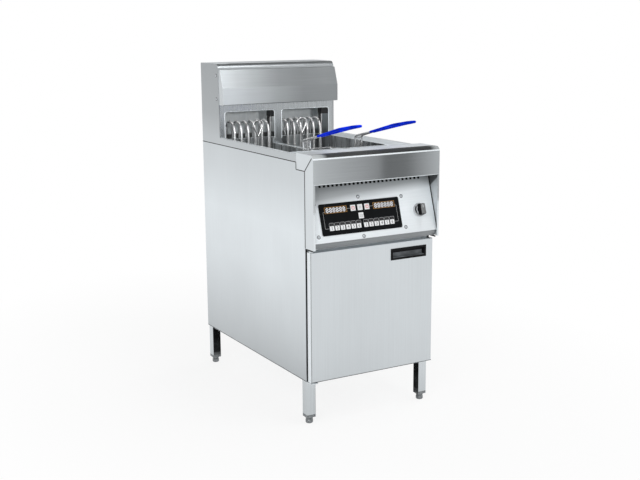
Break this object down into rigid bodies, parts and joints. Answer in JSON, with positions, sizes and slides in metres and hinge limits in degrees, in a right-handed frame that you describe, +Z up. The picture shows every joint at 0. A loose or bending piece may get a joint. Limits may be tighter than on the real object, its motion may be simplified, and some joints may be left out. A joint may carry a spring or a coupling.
{
  "type": "double deep fryer",
  "caption": "Floor-standing electric deep fryer with twin tanks and wire baskets on lift-out racks, a leaning control panel, a riser with hood, and a hinged cabinet door on levelling feet.",
  "frame": {"origin": "on the floor, under the middle of the whole part's box", "axes": "+Z up, front towards -Y, +X to the right as seen from the front"},
  "size_m": [0.4444, 0.8232, 1.057],
  "materials": {
    "panel_steel": "light brushed stainless sheet",
    "head_steel": "brushed stainless sheet, darker grain",
    "deck_steel": "pressed stainless sheet",
    "inner_steel": "plain zinc-plated sheet",
    "element_steel": "bright stainless tube",
    "wire": "nickel-plated wire",
    "grip_blue": "dipped blue coating, satin",
    "overlay_black": "black overlay film, satin",
    "display_glass": "dark display window",
    "key_white": "white key caps",
    "board_green": "green circuit board",
    "fastener": "bright screws",
    "switch_grey": "grey switch base",
    "knob_black": "black moulded knob",
    "probe_black": "black sleeve and block",
    "foot_steel": "turned steel foot",
    "pull_black": "black moulded pull",
    "inner_plastic": "dark moulded fittings",
    "valve_brass": "cast brass valve",
    "lever_red": "red coated lever"
  },
  "bodies": {
    "cabinet": {"back_panel": "panel_steel", "base_pan": "inner_steel", "cable_gland": "inner_plastic", "circuit_board": "board_green", "contactors": "inner_plastic", "control_tray": "inner_steel", "cover_screws": "fastener", "deck": "deck_steel", "displays": "display_glass", "door_catch": "inner_plastic", "drain_valves": "valve_brass", "element_clamps": "inner_steel", "fascia": "panel_steel", "front_frame": "head_steel", "heating_elements": "element_steel", "hinge_pins": "inner_steel", "hood": "head_steel", "left_side_panel": "panel_steel", "left_tank": "deck_steel", "legs": "panel_steel", "overlay_plate": "overlay_black", "power_switch": "switch_grey", "right_side_panel": "panel_steel", "right_tank": "deck_steel", "riser_shell": "panel_steel", "splash_panel": "panel_steel", "terminal_block": "inner_plastic", "thermostat_probes": "probe_black"},
    "door": {"door_skin": "panel_steel", "door_liner": "inner_steel", "door_pull": "pull_black"},
    "power_knob": {"power_knob": "knob_black"},
    "left_rack": {"left_rack": "wire"},
    "right_rack": {"right_rack": "wire"},
    "left_basket": {"left_basket": "wire", "left_grip": "grip_blue"},
    "right_basket": {"right_basket": "wire", "right_grip": "grip_blue"},
    "left_valve_lever": {"left_valve_lever": "lever_red"},
    "right_valve_lever": {"right_valve_lever": "lever_red"},
    "front_left_foot": {"front_left_foot": "foot_steel"},
    "front_right_foot": {"front_right_foot": "foot_steel"},
    "rear_left_foot": {"rear_left_foot": "foot_steel"},
    "rear_right_foot": {"rear_right_foot": "foot_steel"},
    "left_heat_key": {"left_heat_key": "key_white"},
    "left_product_key_1": {"left_product_key_1": "key_white"},
    "left_product_key_2": {"left_product_key_2": "key_white"},
    "left_product_key_3": {"left_product_key_3": "key_white"},
    "left_product_key_4": {"left_product_key_4": "key_white"},
    "left_product_key_5": {"left_product_key_5": "key_white"},
    "left_product_key_6": {"left_product_key_6": "key_white"},
    "menu_key": {"menu_key": "key_white"},
    "right_heat_key": {"right_heat_key": "key_white"},
    "right_product_key_1": {"right_product_key_1": "key_white"},
    "right_product_key_2": {"right_product_key_2": "key_white"},
    "right_product_key_3": {"right_product_key_3": "key_white"},
    "right_product_key_4": {"right_product_key_4": "key_white"},
    "right_product_key_5": {"right_product_key_5": "key_white"},
    "right_product_key_6": {"right_product_key_6": "key_white"},
    "timer_key": {"timer_key": "key_white"}
  },
  "joints": [
    {"name": "door_hinge", "type": "hinge", "parent": "cabinet", "child": "door", "pos_m": [-0.209, -0.3235, 0.335], "axis": [0, 0, -1], "range_deg": [0, 110]},
    {"name": "power_knob_turn", "type": "hinge", "parent": "cabinet", "child": "power_knob", "pos_m": [0.163, -0.33474, 0.62639], "axis": [0, 0.9547, -0.2976], "range_deg": [0, 90]},
    {"name": "left_rack_lift", "type": "slide", "parent": "cabinet", "child": "left_rack", "axis": [0, 0, 1], "range_m": [0, 0.36]},
    {"name": "left_basket_lift", "type": "slide", "parent": "left_rack", "child": "left_basket", "axis": [0, 0, 1], "range_m": [0, 0.36]},
    {"name": "left_valve_turn", "type": "hinge", "parent": "cabinet", "child": "left_valve_lever", "pos_m": [-0.101, -0.0903, 0.496], "axis": [0, 1, 0], "range_deg": [0, 90]},
    {"name": "right_rack_lift", "type": "slide", "parent": "cabinet", "child": "right_rack", "axis": [0, 0, 1], "range_m": [0, 0.36]},
    {"name": "right_basket_lift", "type": "slide", "parent": "right_rack", "child": "right_basket", "axis": [0, 0, 1], "range_m": [0, 0.36]},
    {"name": "right_valve_turn", "type": "hinge", "parent": "cabinet", "child": "right_valve_lever", "pos_m": [0.101, -0.0903, 0.496], "axis": [0, 1, 0], "range_deg": [0, 90]},
    {"name": "front_left_foot_level", "type": "slide", "parent": "cabinet", "child": "front_left_foot", "axis": [0, 0, -1], "range_m": [0, 0.02]},
    {"name": "front_right_foot_level", "type": "slide", "parent": "cabinet", "child": "front_right_foot", "axis": [0, 0, -1], "range_m": [0, 0.02]},
    {"name": "rear_left_foot_level", "type": "slide", "parent": "cabinet", "child": "rear_left_foot", "axis": [0, 0, -1], "range_m": [0, 0.02]},
    {"name": "rear_right_foot_level", "type": "slide", "parent": "cabinet", "child": "rear_right_foot", "axis": [0, 0, -1], "range_m": [0, 0.02]},
    {"name": "left_heat_key_press", "type": "slide", "parent": "cabinet", "child": "left_heat_key", "axis": [0, 0.9547, -0.2976], "range_m": [0, 0.0005], "stiffness_N_per_m": 300, "springref_m": -0.0005},
    {"name": "left_product_key_1_press", "type": "slide", "parent": "cabinet", "child": "left_product_key_1", "axis": [0, 0.9547, -0.2976], "range_m": [0, 0.0005], "stiffness_N_per_m": 300, "springref_m": -0.0005},
    {"name": "left_product_key_2_press", "type": "slide", "parent": "cabinet", "child": "left_product_key_2", "axis": [0, 0.9547, -0.2976], "range_m": [0, 0.0005], "stiffness_N_per_m": 300, "springref_m": -0.0005},
    {"name": "left_product_key_3_press", "type": "slide", "parent": "cabinet", "child": "left_product_key_3", "axis": [0, 0.9547, -0.2976], "range_m": [0, 0.0005], "stiffness_N_per_m": 300, "springref_m": -0.0005},
    {"name": "left_product_key_4_press", "type": "slide", "parent": "cabinet", "child": "left_product_key_4", "axis": [0, 0.9547, -0.2976], "range_m": [0, 0.0005], "stiffness_N_per_m": 300, "springref_m": -0.0005},
    {"name": "left_product_key_5_press", "type": "slide", "parent": "cabinet", "child": "left_product_key_5", "axis": [0, 0.9547, -0.2976], "range_m": [0, 0.0005], "stiffness_N_per_m": 300, "springref_m": -0.0005},
    {"name": "left_product_key_6_press", "type": "slide", "parent": "cabinet", "child": "left_product_key_6", "axis": [0, 0.9547, -0.2976], "range_m": [0, 0.0005], "stiffness_N_per_m": 300, "springref_m": -0.0005},
    {"name": "menu_key_press", "type": "slide", "parent": "cabinet", "child": "menu_key", "axis": [0, 0.9547, -0.2976], "range_m": [0, 0.0005], "stiffness_N_per_m": 300, "springref_m": -0.0005},
    {"name": "right_heat_key_press", "type": "slide", "parent": "cabinet", "child": "right_heat_key", "axis": [0, 0.9547, -0.2976], "range_m": [0, 0.0005], "stiffness_N_per_m": 300, "springref_m": -0.0005},
    {"name": "right_product_key_1_press", "type": "slide", "parent": "cabinet", "child": "right_product_key_1", "axis": [0, 0.9547, -0.2976], "range_m": [0, 0.0005], "stiffness_N_per_m": 300, "springref_m": -0.0005},
    {"name": "right_product_key_2_press", "type": "slide", "parent": "cabinet", "child": "right_product_key_2", "axis": [0, 0.9547, -0.2976], "range_m": [0, 0.0005], "stiffness_N_per_m": 300, "springref_m": -0.0005},
    {"name": "right_product_key_3_press", "type": "slide", "parent": "cabinet", "child": "right_product_key_3", "axis": [0, 0.9547, -0.2976], "range_m": [0, 0.0005], "stiffness_N_per_m": 300, "springref_m": -0.0005},
    {"name": "right_product_key_4_press", "type": "slide", "parent": "cabinet", "child": "right_product_key_4", "axis": [0, 0.9547, -0.2976], "range_m": [0, 0.0005], "stiffness_N_per_m": 300, "springref_m": -0.0005},
    {"name": "right_product_key_5_press", "type": "slide", "parent": "cabinet", "child": "right_product_key_5", "axis": [0, 0.9547, -0.2976], "range_m": [0, 0.0005], "stiffness_N_per_m": 300, "springref_m": -0.0005},
    {"name": "right_product_key_6_press", "type": "slide", "parent": "cabinet", "child": "right_product_key_6", "axis": [0, 0.9547, -0.2976], "range_m": [0, 0.0005], "stiffness_N_per_m": 300, "springref_m": -0.0005},
    {"name": "timer_key_press", "type": "slide", "parent": "cabinet", "child": "timer_key", "axis": [0, 0.9547, -0.2976], "range_m": [0, 0.0005], "stiffness_N_per_m": 300, "springref_m": -0.0005}
  ]
}
